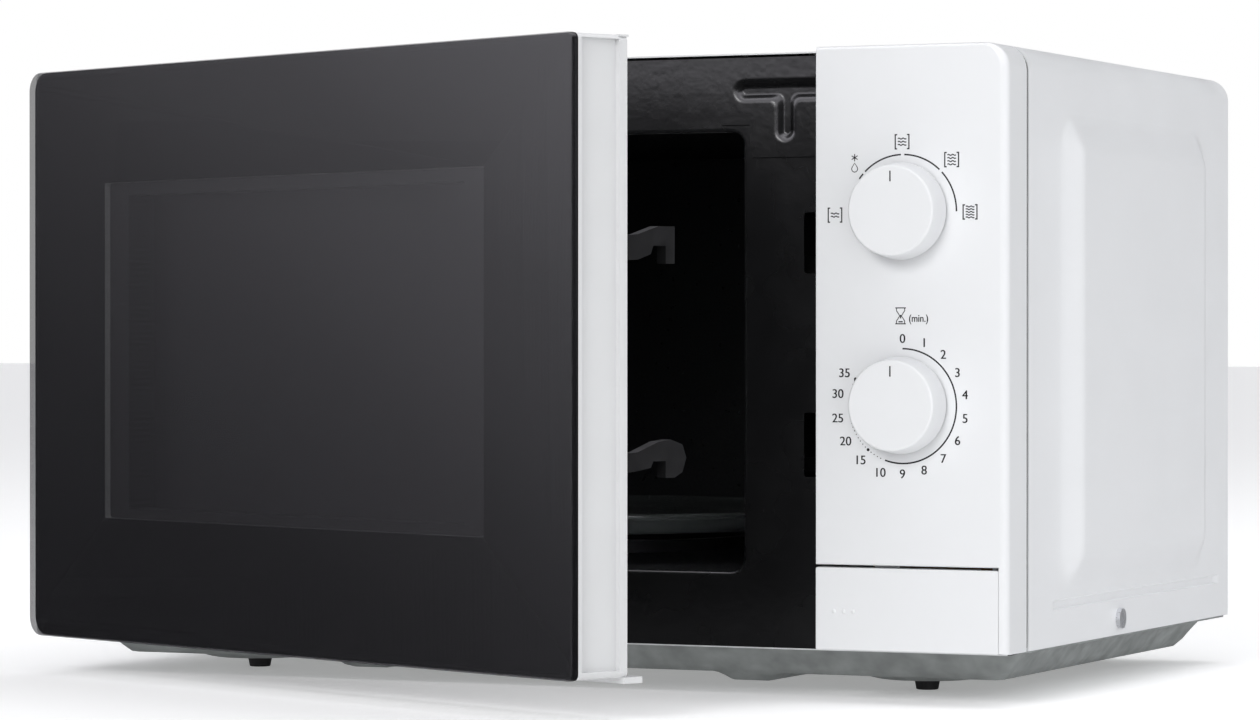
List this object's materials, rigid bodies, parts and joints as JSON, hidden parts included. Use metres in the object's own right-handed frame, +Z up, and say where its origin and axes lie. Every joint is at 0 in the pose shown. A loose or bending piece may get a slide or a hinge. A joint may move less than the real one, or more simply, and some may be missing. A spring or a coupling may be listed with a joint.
{
  "type": "microwave oven",
  "caption": "Small countertop microwave oven with two rotary controls, a push-button door latch and a side-hinged glass door.",
  "frame": {"origin": "middle of the bounding box at table level, with the door built 24 degrees open", "axes": "+X to the right and +Y to the back as seen from the front, +Z up"},
  "size_m": [0.4518, 0.4366, 0.258],
  "materials": {
    "white_enamel": "white semi-gloss enamel",
    "white_plastic": "white satin moulded plastic",
    "ivory_plastic": "natural moulded plastic",
    "black_plastic": "black moulded plastic",
    "black_enamel": "black gloss enamel",
    "galvanised": "galvanised pressed steel",
    "steel": "zinc plated steel",
    "aluminium": "thin aluminium sheet",
    "ferrite": "ferrite ring",
    "lamination": "varnished laminated steel",
    "copper": "enamelled copper wire",
    "circuit_board": "phenolic board with parts",
    "mica": "mica sheet",
    "rubber": "black rubber",
    "dark_glass": "black printed glass",
    "clear_glass": "clear pressed glass",
    "clear_film": "clear film",
    "lamp_glass": "lamp bulb and socket",
    "mesh_steel": "black painted perforated steel",
    "red_plastic": "red switch plunger"
  },
  "bodies": {
    "cabinet": {"cover": "white_enamel", "rear_panel": "galvanised", "cord_gland": "black_plastic", "base_plate": "galvanised", "feet": "rubber", "cover_screws": "steel", "front_flange": "black_enamel", "cavity_wrap": "black_enamel", "cavity_left_wall": "black_enamel", "cavity_right_wall": "black_enamel", "waveguide": "galvanised", "mica_cover": "mica", "magnetron_yoke": "galvanised", "magnetron_tube": "copper", "magnetron_fins": "aluminium", "magnetron_magnets": "ferrite", "filter_box": "galvanised", "transformer_core": "lamination", "windings": "copper", "hv_capacitor": "aluminium", "capacitor_clamp": "steel", "hv_diode": "black_plastic", "fan_shroud": "ivory_plastic", "fan_motor": "lamination", "air_duct": "ivory_plastic", "oven_lamp": "lamp_glass", "thermal_cutouts": "black_plastic", "noise_filter": "circuit_board", "latch_board": "black_plastic", "microswitches": "black_plastic", "button_spring": "steel", "control_panel": "white_plastic", "timer_unit": "ivory_plastic", "timer_motor": "steel", "bell": "steel", "hinge_brackets": "steel", "turntable_motor": "steel"},
    "door": {"door_glass": "dark_glass", "door_frame": "white_plastic", "door_plate": "mesh_steel", "door_film": "clear_film", "choke_cover": "black_plastic", "latch_spring": "steel"},
    "latch": {"latch_hooks": "black_plastic"},
    "button": {"open_button": "white_plastic"},
    "lever": {"release_lever": "black_plastic"},
    "power_control": {"power_knob": "white_plastic", "power_shaft": "steel"},
    "timer_control": {"timer_knob": "white_plastic", "timer_shaft": "steel"},
    "turntable": {"glass_tray": "clear_glass", "turntable_coupler": "black_plastic"},
    "ring": {"roller_ring": "black_plastic"},
    "roller_a": {"roller_1": "black_plastic"},
    "roller_b": {"roller_2": "black_plastic"},
    "roller_c": {"roller_3": "black_plastic"},
    "fan": {"fan_blade": "ivory_plastic"},
    "primary_push": {"primary_plunger": "red_plastic"},
    "secondary_push": {"secondary_plunger": "red_plastic"},
    "monitor_push": {"monitor_plunger": "red_plastic"}
  },
  "joints": [
    {"name": "door_hinge", "type": "hinge", "parent": "cabinet", "child": "door", "pos_m": [-0.2095, -0.0594, 0.13], "axis": [0, 0, -1], "range_deg": [-24, 66]},
    {"name": "latch_slide", "type": "slide", "parent": "door", "child": "latch", "axis": [0, 0, 1], "range_m": [0, 0.007], "stiffness_N_per_m": 150, "springref_m": -0.004, "deforming": ["latch_spring"]},
    {"name": "button_press", "type": "hinge", "parent": "cabinet", "child": "button", "pos_m": [0.212, -0.0697, 0.037], "axis": [0, 0, -1], "range_deg": [0, 4.8], "stiffness_Nm_per_rad": 0.6, "springref_deg": -6.88, "deforming": ["button_spring"]},
    {"name": "lever_turn", "type": "hinge", "parent": "cabinet", "child": "lever", "pos_m": [0.1447, -0.0647, 0.075], "axis": [1, 0, 0], "range_deg": [0, 11.6]},
    {"name": "power_turn", "type": "hinge", "parent": "cabinet", "child": "power_control", "pos_m": [0.176, -0.0787, 0.1928], "axis": [0, 1, 0], "range_deg": [-90, 90]},
    {"name": "timer_turn", "type": "hinge", "parent": "cabinet", "child": "timer_control", "pos_m": [0.176, -0.0787, 0.1171], "axis": [0, 1, 0], "range_deg": [0, 298]},
    {"name": "turntable_turn", "type": "hinge", "parent": "cabinet", "child": "turntable", "pos_m": [-0.04475, 0.0763, 0.06], "axis": [0, 0, 1], "continuous": true},
    {"name": "ring_turn", "type": "hinge", "parent": "cabinet", "child": "ring", "pos_m": [-0.04475, 0.0763, 0.055], "axis": [0, 0, 1], "continuous": true},
    {"name": "roller_a_spin", "type": "hinge", "parent": "ring", "child": "roller_a", "pos_m": [0.03925, 0.1248, 0.055], "axis": [0.866, 0.5, 0], "continuous": true},
    {"name": "roller_b_spin", "type": "hinge", "parent": "ring", "child": "roller_b", "pos_m": [-0.12875, 0.1248, 0.055], "axis": [-0.866, 0.5, 0], "continuous": true},
    {"name": "roller_c_spin", "type": "hinge", "parent": "ring", "child": "roller_c", "pos_m": [-0.04475, -0.0207, 0.055], "axis": [0, -1, 0], "continuous": true},
    {"name": "fan_spin", "type": "hinge", "parent": "cabinet", "child": "fan", "pos_m": [0.156, 0.1733, 0.162], "axis": [0, 1, 0], "continuous": true},
    {"name": "primary_click", "type": "slide", "parent": "cabinet", "child": "primary_push", "axis": [0, 1, 0], "range_m": [0, 0.0015], "stiffness_N_per_m": 300, "springref_m": -0.001},
    {"name": "secondary_click", "type": "slide", "parent": "cabinet", "child": "secondary_push", "axis": [0, 1, 0], "range_m": [0, 0.0015], "stiffness_N_per_m": 300, "springref_m": -0.001},
    {"name": "monitor_click", "type": "slide", "parent": "cabinet", "child": "monitor_push", "axis": [0, 1, 0], "range_m": [0, 0.0015], "stiffness_N_per_m": 300, "springref_m": -0.001}
  ],
  "couplings": [
    {"joint": "lever_turn", "follows": "button_press", "ratio": 2.3958},
    {"joint": "ring_turn", "follows": "turntable_turn", "ratio": 0.5},
    {"joint": "roller_a_spin", "follows": "turntable_turn", "ratio": -8.5088},
    {"joint": "roller_b_spin", "follows": "turntable_turn", "ratio": -8.5088},
    {"joint": "roller_c_spin", "follows": "turntable_turn", "ratio": -8.5088}
  ]
}
